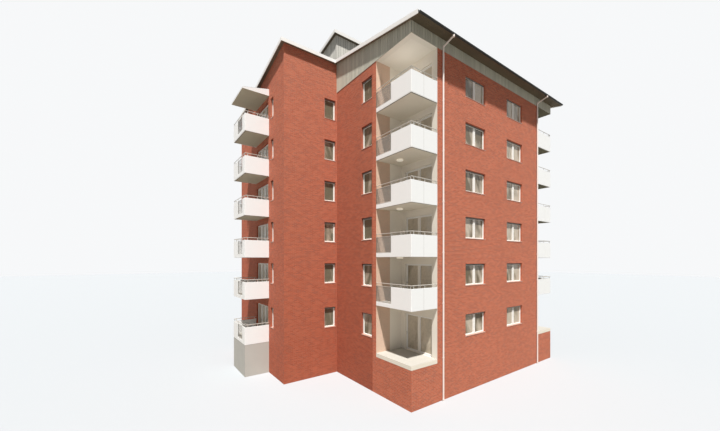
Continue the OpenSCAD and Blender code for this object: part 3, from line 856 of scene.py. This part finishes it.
class BLOCK_OT_boards(bpy.types.Operator):
    """Upright boards on the bands under the roof and on the fan room"""

    bl_idname = "block.boards"
    bl_label = "Boards"

    def execute(self, context):
        settings = context.scene.block_boards
        recipe = board_recipe("boards", settings.colour, settings.pitch)
        sheathing = self.sheathing_recipe(settings, context.scene.block_balcony)
        paint(sheathing, "front_cladding", "left_gable", "right_gable", "penthouse_walls")
        cuts = [(roof.point, roof.up) for roof in (Slope("front_roof"), Slope("back_roof"))]
        band = node_box("front_cladding")
        keep([self.row(settings, band, FRONT, cuts[:1])], "front_boards", recipe)
        for side, outward in (("left", LEFT), ("right", RIGHT)):
            gable = node_box(side + "_gable")
            gable.low.y = band.low.y
            keep([self.row(settings, gable, outward, cuts)], side + "_boards", recipe)
        # The fan room's boards take a lighter colour, a painted light
        recipe = board_recipe("fan_room_boards", settings.fan_room, settings.pitch)
        keep(self.fan_room(settings), "fan_room_boards", recipe)
        sheet = paint_recipe("flashing", settings.flashing, 0.5, 0.2)
        keep(self.apron(settings), "fan_room_flashing", sheet)
        keep(self.strips(settings), "board_flashing", sheet)
        # A pitch wider than the roof, so that the tone doesn't change from board to board
        whole_roof = 50.0
        recipe = board_recipe("soffit_boards", settings.soffit, whole_roof)
        keep(self.soffit_boards(settings), "eave_soffit_boards", recipe)
        return {"FINISHED"}

    def sheathing_recipe(self, settings, balcony):
        """Dark sheathing that shows between the boards, its darkness a painted shade in the gaps; the ceiling's
        paint where it faces down.
        """
        recipe = Recipe("sheathing", roughness=0.85)
        point, (x, _, _) = recipe.place()
        _, _, nz = recipe.facing()
        weave = recipe.noise(point, 25.0, 2.0)
        # Painted shade in the gaps between the boards
        dark = recipe.shade(settings.gap_colour, 0.85 + weave * 0.3)
        # Painted shade on the ceiling paint beyond the right part
        ceiling = recipe.mix(x > RIGHT_PART, balcony.ceiling, balcony.dark_soffit)
        pale = recipe.shade(ceiling, 0.9 + weave * 0.1)
        recipe.set(base_color=recipe.mix(nz < -FACING, dark, pale))
        recipe.bump(weave, 0.001)
        return recipe.material

    def row(self, settings, box, outward, cuts):
        """Boards side by side over a box's outer face, cut along the roof."""
        start, end = box.span(outward)
        count = round((end - start) / settings.pitch)
        half = ((end - start) / count - settings.gap) / 2
        piece = block((-half, -settings.thickness, box.low.z), (half, 0, box.high.z), EDGE)
        piece.data.transform(turn_to(outward))
        face = outward * box.face(outward)
        places = [Matrix.Translation(face + across(outward) * middle) for middle in spread(start, end, count)]
        made = join(copies(piece, places))
        for point, normal in cuts:
            cut(made, point, normal)
        return made

    def fan_room(self, settings):
        """Boards on the fan room, from the roof sheet up to its own roof."""
        roof, deck = Slope("penthouse_roof"), Slope("back_roof", top=True)
        clear = 0.03
        cuts = [(roof.point, roof.up), (deck.point + deck.up * clear, -deck.up)]
        box = node_box("penthouse_walls")
        return [self.row(settings, box, outward, cuts) for outward in (FRONT, REAR, LEFT, RIGHT)]

    def apron(self, settings):
        """Upstands of sheet along the fan room's walls, level in front and behind, sloping at the sides."""
        box = node_box("penthouse_walls")
        deck = Slope("back_roof", top=True)
        out = settings.thickness + 0.012
        foot, head = -0.02, 0.16
        made = []
        for outward in (FRONT, REAR):
            z = deck.height(outward.y * box.face(outward))
            ends = (box.low.x - out, box.high.x + out)
            made.append(plate(outward, box.face(outward), ends, (z + foot, z + head), out, SOFT_EDGE))
        half = box.size.y / deck.up.z / 2
        for x in (box.low.x - out, box.high.x):
            strip = block((x, -half, foot), (x + out, half, head), SOFT_EDGE)
            strip.data.transform(deck.place(0, box.middle.y))
            made.append(strip)
        return made

    def strips(self, settings):
        """Folded sheets under the feet of the boards."""
        band, left, right = (node_box(name) for name in ("front_cladding", "left_gable", "right_gable"))
        half = 0.012
        out = settings.thickness + 0.003
        faces = (
            (FRONT, band, (band.low.x - out, band.high.x + out)),
            (LEFT, left, (band.low.y, left.high.y)),
            (RIGHT, right, (band.low.y, right.high.y)),
        )
        high = (band.low.z - half, band.low.z + half)
        return [plate(outward, box.face(outward), ends, high, out, EDGE) for outward, box, ends in faces]

    def soffit_boards(self, settings):
        """Boards under the eaves, along the front and the rear wall."""
        wide, gap, thick, clear = settings.soffit_width, 0.008, 0.015, 0.02
        half = (wide - gap) / 2
        made = []
        for node, wall, outward in (("front_roof", "front_wall", FRONT), ("back_roof", "rear_wall", REAR)):
            box = node_box(node)
            under = Slope(node)
            start = node_box(wall).face(outward) + clear
            end = box.face(outward)
            rows = spread(start, end, int((end - start) / wide))
            piece = block((box.low.x, -half, -thick), (box.high.x, half, 0), EDGE)
            made += copies(piece, [under.place(0, outward.y * out) for out in rows])
        return made


class BLOCK_OT_windows(bpy.types.Operator):
    """Sashes, glass and frames of windows and balcony doors"""

    bl_idname = "block.windows"
    bl_label = "Windows"

    def execute(self, context):
        settings = context.scene.block_windows
        white = paint_recipe("white_paint", settings.white, 0.4)
        # Frames of the front and left windows take painted shade on their head bars
        head_shaded = paint_recipe("sooty_paint", settings.white, 0.4, head_shade=settings.head_shade)
        paint(white, "rear_windows", "right_windows", "balcony_doors")
        paint(head_shaded, "front_windows", "left_windows")
        # Where the noise of the painted reflections begins and ends, on windows and on doors
        clear, door_reflection_reach = (0.49, 0.72), (0.02, 0.42)
        glass = window_glass_recipe("window_glass", settings, settings.glass, clear)
        paint(glass, "front_glass", "rear_glass", "right_glass")
        # The left windows' glass takes its own tint, a painted reflection
        paint(window_glass_recipe("left_glass", settings, settings.left_glass, clear), "left_glass")
        paint(window_glass_recipe("door_glass", settings, settings.glass, door_reflection_reach), "door_glass")
        for side in (*WINDOW_SIDES, "door"):
            finish = head_shaded if side in ("front", "left") else white
            keep(self.sashes(settings, side + "_glass"), side + "_sashes", finish)
        plaster = mineral_recipe("mullion_plaster", context.scene.block_balcony.plaster, 45.0, 0.002)
        keep(self.covers(settings), "mullion_covers", plaster)
        steel = paint_recipe("handle_steel", settings.steel, 0.3, 0.8)
        keep(self.handles(settings), "door_handles", steel)
        sheet = paint_recipe("sill_sheet", settings.sill, 0.45, 0.1)
        for side in WINDOW_SIDES:
            keep(self.sills(settings, side), side + "_sills", sheet)
        return {"FINISHED"}

    def sashes(self, settings, node):
        """A sash and a glazing bead round each pane, modelled once for each size."""
        bead = settings.bead
        made = []
        for (wide, high), panes in by_size(node):
            piece = ring(wide, high, settings.sash, settings.proud)
            made += copies(piece, [at_face(pane, outward, settings.inset) for pane, outward in panes])
            piece = ring(wide - 2 * bead, high - 2 * bead, bead - 0.001, bead)
            made += copies(piece, [at_face(pane, outward, 0.0005) for pane, outward in panes])
        return made

    def covers(self, settings):
        """A rendered cover on each post between two balcony door panes of a corner balcony."""
        left = node_box("left_wall").low.x
        panes = [pane for pane in solids("door_glass") if pane.low.x > left]
        made = []
        for pane in panes:
            outward = looks("door_glass", pane)
            for other in panes:
                apart = other.low - pane.low
                post = 0 < other.low.y - pane.high.y < POST
                if post and abs(apart.z) < LEVEL and abs(apart.x) < LEVEL:
                    ends = (pane.high.y + settings.sash, other.low.y - settings.sash)
                    face = pane.face(outward) + settings.inset
                    heights = (pane.low.z, pane.high.z)
                    made.append(plate(outward, face, ends, heights, settings.proud + 0.004, EDGE))
        return made

    def handles(self, settings):
        """A lever on a back plate on each balcony door."""
        wide, high, thick = 0.014, 0.09, 0.008
        axis, out, radius = 0.04, 0.05, 0.009
        back = block((-wide, -thick, -high), (wide, 0, high), EDGE)
        neck = rod((0, -thick, axis), (0, -out - 0.005, axis), radius)
        lever = rod((-0.004, -out, axis), (0.115, -out, axis), radius)
        places = []
        for pane in solids("door_glass"):
            outward = looks("door_glass", pane)
            start, end = pane.span(outward)
            if end - start < settings.door:
                place = at_face(pane, outward, settings.inset + settings.proud)
                shift = ((start - end - settings.sash) / 2, 0, settings.handle - pane.size.z / 2)
                places.append(place @ Matrix.Translation(shift))
        return copies(join([back, neck, lever]), places)

    def sills(self, settings, side):
        """A sloping sheet on each sill, with a drip nose and upturned ends."""
        panes = solids(side + "_glass")
        thin, low, rise = 0.004, 0.026, 0.02
        lip, middle = 0.002, low + rise / 2
        made = []
        for (wide, _), windows in by_size(side + "_windows"):
            box, outward = windows[0]
            half = wide / 2 - 0.006
            deep = box.face(outward) - box.nearest(panes).face(outward) - settings.inset
            sheet = block((-half, lip, low), (half, deep, low + rise))

            def lower_nose():
                bpy.ops.mesh.select_mode(type="VERT")
                shape = bmesh.from_edit_mesh(sheet.data)
                for vert in shape.verts:
                    vert.select_set(vert.co.y < 0.01 and vert.co.z > middle)
                bmesh.update_edit_mesh(sheet.data)
                bpy.ops.transform.translate(value=(0, 0, thin - rise))

            edit(sheet, lower_nose)
            nose = block((-half, -thin, thin), (half, lip, low + thin), FINE_EDGE)
            ends = [block((x, 0.0, low), (x + thin, deep, low + rise + 0.012)) for x in (-half, half - thin)]
            places = [at_face(box, outward) for box, outward in windows]
            for place, (box, _) in zip(places, windows):
                place.translation.z = box.low.z
            made += copies(join([sheet, nose, *ends]), places)
        return made


class BLOCK_OT_balconies(bpy.types.Operator):
    """Parapet panels, glass, rails and ceiling lamps of the balconies"""

    bl_idname = "block.balconies"
    bl_label = "Balconies"

    def execute(self, context):
        settings = context.scene.block_balcony
        # The panels' faces that look left take painted light
        white = paint_recipe("white_panel", settings.white, 0.35, drift=0.03, left_painted_light=settings.left_white)
        steel = paint_recipe("rail_steel", settings.rail, 0.35, 0.4)
        paint(white, "parapets_front", "parapets_side", "balcony_canopy")
        paint(steel, "handrails_front", "handrails_side")
        paint(self.glass_recipe(settings), "railing_glass")
        panels, gaskets = self.panels(settings)
        keep(panels, "parapet_panels", white)
        keep(gaskets, "panel_joints", paint_recipe("joint_gasket", settings.gasket, 0.7))
        cap = paint_recipe("cap_paint", settings.cap, 0.4, drift=0.03)
        keep(self.caps(), "parapet_caps", cap)
        keep(self.fittings(), "rail_fittings", steel)
        keep(self.profiles(), "balcony_profiles", paint_recipe("dark_profile", settings.profile, 0.5))
        keep(self.lamps(settings), "ceiling_lamps", self.bowl_recipe(settings))
        return {"FINISHED"}

    def glass_recipe(self, settings):
        """Clear glass with a faint tint, a little dusty."""
        recipe = Recipe("railing_glass", ior=1.5, alpha=0.33)
        point, _ = recipe.place()
        dust = recipe.noise(point, 2.5, 3.0)
        recipe.set(base_color=recipe.shade(settings.glass, 0.8 + dust * 0.4), roughness=0.03 + dust * 0.05)
        return recipe.material

    def bowl_recipe(self, settings):
        """A ceiling lamp's frosted bowl, faintly lit from inside."""
        recipe = Recipe("lamp_bowl", roughness=0.3, emission_color=settings.glow, emission_strength=0.3)
        point, _ = recipe.place()
        recipe.set(base_color=recipe.shade(settings.bowl, 0.9 + recipe.noise(point, 6.0) * 0.2))
        return recipe.material

    def panels(self, settings):
        """Facing panels with bevelled edges over the parapets, and the gaskets in the corner's joints."""
        glass = solids("railing_glass")
        gap = settings.joint / 2
        short = 0.2
        stretches = []
        joints = []
        for box in solids("parapets_front"):
            outward = REAR if box.middle.y > box.nearest(glass).middle.y else FRONT
            ends = [box.low.x, box.high.x]
            if box.middle.y < FRONT_PART:
                ends.insert(1, box.inward(settings.split))
                joints.append((box, ends[1]))
            stretches += [(box, outward, start, end, box.high.z) for start, end in zip(ends, ends[1:])]
        for box in solids("parapets_side"):
            outward = box.side()
            pane = box.nearest(glass)
            stretches.append((box, outward, box.low.y - box.size.x, pane.low.y, box.high.z))
            stretches.append((box, outward, pane.low.y, pane.high.y, pane.low.z))
            if box.high.y - pane.high.y > short:
                stretches.append((box, outward, pane.high.y, box.high.y + box.size.x, box.high.z))
        panels = [
            plate(outward, box.face(outward), (start + gap, end - gap), (box.low.z + 0.004, top - 0.002),
                  settings.panel, EDGE)
            for box, outward, start, end, top in stretches
        ]
        inset, thick = 0.006, 0.002
        gaskets = [
            plate(FRONT, box.face(FRONT), (x - gap, x + gap), (box.low.z + inset, box.high.z - inset), thick)
            for box, x in joints
        ]
        return panels, gaskets

    def caps(self):
        """Folded caps on the parapets."""
        made = []
        for node in ("parapets_front", "parapets_side"):
            tops = {round(box.high.z, 3) for box in solids(node)}
            made.append(skin(node, lambda f: f.normal.z > 0.9 and round(f.center.z, 3) in tops, 0.006))
        return made

    def bar(self, pane, half, along, heights, bevel):
        """A bar round a pane of the railing, between two places along it and two heights."""
        x = pane.middle.x
        return block((x - half, along[0], heights[0]), (x + half, along[1], heights[1]), bevel)

    def fittings(self):
        """Plates under the stanchions, and channels along the head and the foot of the glass."""
        thick, head, foot, over = 0.006, 0.02, 0.05, 0.004
        made = []
        for node, (x, y) in (("handrails_front", (0.045, 0.018)), ("handrails_side", (0.018, 0.045))):
            piece = block((-x, -y, 0), (x, y, thick), FINE_EDGE)
            made += copies(piece, [Matrix.Translation(spot + UP * thick) for spot in feet(node)])
        for pane in solids("railing_glass"):
            along = (pane.low.y, pane.high.y)
            made.append(self.bar(pane, 0.014, along, (pane.high.z - head, pane.high.z + over), EDGE))
            made.append(self.bar(pane, 0.018, along, (pane.low.z, pane.low.z + foot), EDGE))
        return made

    def profiles(self):
        """Dark end profiles of the railing glass, and dark strips under the slabs behind the panels, a painted
        shadow gap.
        """
        wide = 0.022
        made = []
        for pane in solids("railing_glass"):
            for y in (pane.low.y, pane.high.y - wide):
                made.append(self.bar(pane, 0.016, (y, y + wide), (pane.low.z, pane.high.z), FINE_EDGE))
        # Painted shadow: a dark strip under each slab, behind its panels
        wide, deep = 0.035, 0.006
        for box in solids("corner_balcony_slabs") + solids("side_balcony_slabs"):
            side = box.side()
            low = (box.low.z - deep, box.low.z)
            made.append(plate(FRONT, box.face(FRONT), (box.low.x, box.high.x), low, 0, back=wide))
            made.append(plate(side, box.face(side), (box.low.y + wide, box.high.y), low, 0, back=wide))
        return made

    def lamps(self, settings):
        """A round lamp under the slabs over the corner balconies, all but the lowest and the highest."""
        slabs = solids("corner_balcony_slabs")
        heights = sorted({round(box.low.z, 3) for box in slabs})
        places = []
        for box in slabs:
            if round(box.low.z, 3) in heights[1:-1]:
                place = (box.inward(settings.lamp_in), box.low.y + 2 * settings.lamp_in, box.low.z)
                places.append(Matrix.Translation(place))
        rim, segments = 0.045, 4
        return copies(disc(settings.lamp, settings.lamp_depth, rim, segments), places)


class BLOCK_OT_roof(bpy.types.Operator):
    """Standing seams, edge boards, gutters, hooks and downpipes"""

    bl_idname = "block.roof"
    bl_label = "Roof"

    def execute(self, context):
        settings = context.scene.block_roof
        roofs = ("front_roof", "back_roof", "penthouse_roof")
        boards = ("edge_boards", "penthouse_boards")
        sheet = self.sheet_recipe(settings)
        dark = paint_recipe("gutter_paint", settings.gutter, 0.4, 0.3)
        pale = paint_recipe("pipe_paint", settings.pipe, 0.4, 0.1)
        paint(sheet, *roofs)
        paint(paint_recipe("edge_paint", settings.edge, 0.45, drift=0.03), *boards)
        paint(dark, "gutters")
        paint(pale, "downpipes")
        for node in roofs:
            keep(self.seams(settings, node), node + "_seams", sheet)
        caps = [skin(node, lambda f: f.normal.z > 0.9, 0.001) for node in boards]
        keep(caps, "edge_caps", dark)
        keep([skin("balcony_canopy", lambda f: f.normal.z > 0.5, 0.006)], "canopy_cover", dark)
        soffit = mineral_recipe("canopy_soffit", context.scene.block_balcony.side_soffit, 20.0, 0.0005)
        under = skin("balcony_canopy", lambda f: f.normal.z < -0.5, 0.004)
        keep([under], "canopy_soffit", soffit)
        keep([self.ridge(settings)], "ridge_cap", dark)
        keep(self.hooks(settings), "gutter_hooks", dark)
        keep(self.sockets(), "pipe_sockets", pale)
        return {"FINISHED"}

    def sheet_recipe(self, settings):
        """Dark sheet on top, brown boards underneath."""
        recipe = Recipe("roof_sheet")
        point, (x, y, _) = recipe.place()
        _, _, nz = recipe.facing()
        under = nz < -FACING
        cloud = recipe.noise(point, 0.6, 4.0)
        grain = recipe.noise(recipe.point(x * 1.5, y * 50.0), 1.0, 3.0)
        top = recipe.shade(settings.sheet, 0.8 + cloud * 0.4)
        boards = recipe.shade(settings.under, 0.8 + grain * 0.3)
        recipe.set(base_color=recipe.mix(under, top, boards), roughness=0.45 + cloud * 0.15)
        pitch, gap = 0.12, 0.012
        groove = (y.wrap(pitch) < gap) * under
        recipe.bump(grain * under * 0.2 - groove, 0.004)
        return recipe.material

    def seams(self, settings, node):
        """Ribs up the slope at an even pitch."""
        box = node_box(node)
        deck = Slope(node, top=True)
        count = max(2, round(box.size.x / settings.seam_pitch))
        wide, half = 0.012, (box.size.y / 2 - settings.seam_end) / deck.up.z
        piece = block((-wide, -half, 0), (wide, half, settings.seam_height), 0.006)
        return copies(piece, [deck.place(x, box.middle.y) for x in spread(box.low.x, box.high.x, count)])

    def ridge(self, settings):
        """A folded cap over the ridge."""
        front = node_box("front_roof")
        wide = settings.ridge_width
        cap = block((front.low.x, -wide, 0), (front.high.x, wide, 0.004))
        ups = [Slope(node, top=True).up for node in ("front_roof", "back_roof")]
        front_drop, rear_drop = (wide * abs(up.y) / up.z for up in ups)

        def fold():
            bpy.ops.mesh.bisect(plane_co=(0, 0, 0), plane_no=(0, 1, 0))
            shape = bmesh.from_edit_mesh(cap.data)
            for vert in shape.verts:
                if abs(vert.co.y) > wide / 2:
                    vert.co.z -= front_drop if vert.co.y < 0 else rear_drop
            bmesh.update_edit_mesh(cap.data)

        edit(cap, fold)
        cap.data.transform(Matrix.Translation((0, front.high.y, front.high.z + settings.seam_height)))
        return cap

    def hooks(self, settings):
        """Straps under the gutters, flat bars over them and a rolled front edge."""
        wide, low, high, inner, outer, roll = 0.013, 0.001, 0.005, 0.006, 0.04, 0.009
        made = []
        for box, outward in zip(sorted(solids("gutters"), key=lambda b: b.low.y), (FRONT, REAR)):
            radius = box.size.z
            strap = self.strap(radius, 2 * wide)
            bar = block((-wide, -radius + inner, low), (wide, radius + outer, high))
            bar.data.transform(turn_to(outward))
            places = spread(box.low.x, box.high.x, round(box.size.x / settings.hook_pitch))
            y, z = box.middle.y, box.high.z
            made += copies(join([strap, bar]), [Matrix.Translation((x, y, z)) for x in places])
            y = outward.y * (box.face(outward) - roll)
            made.append(rod((box.low.x, y, z), (box.high.x, y, z), roll))
        return made

    def strap(self, radius, wide):
        """A strap bent round the underside of a gutter."""
        thick, start, sweep = 0.003, math.radians(-65), math.radians(-130)
        pick()
        bpy.ops.mesh.primitive_plane_add(size=1, location=(0, 0, -radius - thick / 2))
        obj = bpy.context.object
        obj.scale = (wide, 0.012, 1)
        settle(obj)
        obj.data.transform(Matrix.Rotation(start, 4, "X"))

        def bend():
            bpy.ops.mesh.select_mode(type="EDGE")
            shape = bmesh.from_edit_mesh(obj.data)
            for face in list(shape.faces):
                shape.faces.remove(face)
            far = max(vert.co.y for vert in shape.verts)
            spare = [vert for vert in shape.verts if vert.co.y < far - 0.001]
            bmesh.ops.delete(shape, geom=spare, context="VERTS")
            bmesh.update_edit_mesh(obj.data)
            bpy.ops.mesh.select_all(action="SELECT")
            bpy.ops.mesh.spin(steps=10, angle=sweep, center=(0, 0, 0), axis=(1, 0, 0))

        edit(obj, bend)
        return modify(obj, "SOLIDIFY", thickness=thick, offset=0.0)

    def sockets(self):
        """Sockets round the downpipes at every floor and at their feet."""
        out, high, foot, radius, rim = 0.08, 0.09, 0.12, 0.058, 0.006
        floors = sorted({round(box.high.z, 3) for box in solids("main_floors")})
        levels = [z + high for z in floors] + [foot]
        places = []
        for box in solids("downpipes"):
            outward, wall = (FRONT, "front_wall") if box.middle.y < 0 else (REAR, "rear_wall")
            y = outward.y * (node_box(wall).face(outward) + out)
            places += [Matrix.Translation((box.middle.x, y, z)) for z in levels]
        return copies(disc(radius, high, rim, 2), places)


class BLOCK_OT_stage(bpy.types.Operator):
    """Camera, lamps, background and floor"""

    bl_idname = "block.stage"
    bl_label = "Stage"

    def execute(self, context):
        settings = context.scene.block_stage
        self.camera(context.scene, settings)
        self.lamps(settings)
        self.world(context.scene, settings)
        self.floor(settings)
        context.scene.view_settings.view_transform = "Standard"
        return {"FINISHED"}

    def camera(self, scene, settings):
        """A level camera whose lens is shifted to bring the horizon to its row."""
        data = bpy.data.cameras.new("camera")
        data.lens = settings.lens
        data.shift_y = (settings.horizon_row + 0.5 - PICTURE[1] / 2) / PICTURE[0]
        data.clip_end = 500
        obj = add("camera", data)
        obj.location = settings.eye
        obj.rotation_euler = (math.pi / 2, 0, -settings.heading)
        scene.camera = obj

    def lamps(self, settings):
        """The main lamp, and a small one in each recess on the left."""
        sun = bpy.data.lights.new("sun", "SUN")
        sun.energy = settings.sun
        sun.angle = math.radians(2.5)
        sun.color = settings.sun_colour
        add("sun", sun).rotation_euler = Vector(settings.beam).to_track_quat("-Z", "Y").to_euler()
        slabs = [box for box in solids("corner_balcony_slabs") if box.middle.x < 0]
        for box in slabs:
            lamp = bpy.data.lights.new("balcony_lamp", "POINT")
            lamp.energy = settings.top_lamp if box is slabs[-1] else settings.balcony
            lamp.shadow_soft_size = 0.25
            lamp.color = settings.lamp_colour
            obj = add("balcony_lamp", lamp)
            obj.location = (box.middle.x, box.middle.y, box.high.z + settings.lamp_height)
            obj.visible_camera = False
            obj.visible_glossy = False

    def world(self, scene, settings):
        """Soft light from all round, and a white background for the camera, for mirrors and through glass."""
        world = bpy.data.worlds.new("studio")
        scene.world = world
        world.use_nodes = True
        nodes = Nodes(world.node_tree)
        light = nodes.tree.nodes["Background"]
        nodes.feed(light.inputs["Color"], settings.sky_colour)
        nodes.feed(light.inputs["Strength"], settings.sky)
        white = nodes.node("ShaderNodeBackground", inputs={"Color": settings.background, "Strength": 1.0})
        kinds = ("Is Camera Ray", "Is Glossy Ray", "Is Transmission Ray")
        camera, glossy, through = (nodes.node("ShaderNodeLightPath", output=kind) for kind in kinds)
        shaders = {0: camera.highest(glossy.highest(through)), 1: Value(nodes, light.outputs[0]), 2: white}
        mixed = nodes.node("ShaderNodeMixShader", inputs=shaders)
        nodes.feed(nodes.tree.nodes["World Output"].inputs["Surface"], mixed)

    def floor(self, settings):
        """A wide plain floor that throws back less light than it shows."""
        recipe = Recipe("floor", roughness=0.9)
        seen = recipe.node("ShaderNodeLightPath", output="Is Camera Ray")
        recipe.set(base_color=recipe.mix(seen, settings.bounce, settings.floor))
        wide, level = 400, -0.002
        pick()
        bpy.ops.mesh.primitive_plane_add(size=wide, location=(0, 0, level))
        floor = settle(bpy.context.object)
        floor.name = "floor"
        dress(floor.data, recipe.material)


class BLOCK_PT_sidebar(bpy.types.Panel):
    """Lists the operators in the sidebar"""

    bl_idname = "BLOCK_PT_sidebar"
    bl_label = "Apartment block"
    bl_space_type = "VIEW_3D"
    bl_region_type = "UI"
    bl_category = "Apartment block"

    def draw(self, context):
        for name in STEPS:
            self.layout.operator("block." + name)


STEPS = ("masonry", "boards", "windows", "balconies", "roof", "stage")
GROUPS = {
    "block_brick": BrickSettings,
    "block_boards": BoardSettings,
    "block_windows": WindowSettings,
    "block_balcony": BalconySettings,
    "block_roof": RoofSettings,
    "block_stage": StageSettings,
}
CLASSES = (*GROUPS.values(), BLOCK_OT_masonry, BLOCK_OT_boards, BLOCK_OT_windows, BLOCK_OT_balconies,
           BLOCK_OT_roof, BLOCK_OT_stage, BLOCK_PT_sidebar)


def register():
    for made in CLASSES:
        bpy.utils.register_class(made)
    for name, group in GROUPS.items():
        setattr(bpy.types.Scene, name, PointerProperty(type=group))


def unregister():
    for name in GROUPS:
        delattr(bpy.types.Scene, name)
    for made in reversed(CLASSES):
        bpy.utils.unregister_class(made)


def main():
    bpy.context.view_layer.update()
    register()
    for name in STEPS:
        getattr(bpy.ops.block, name)()


if __name__ == "__main__":
    main()
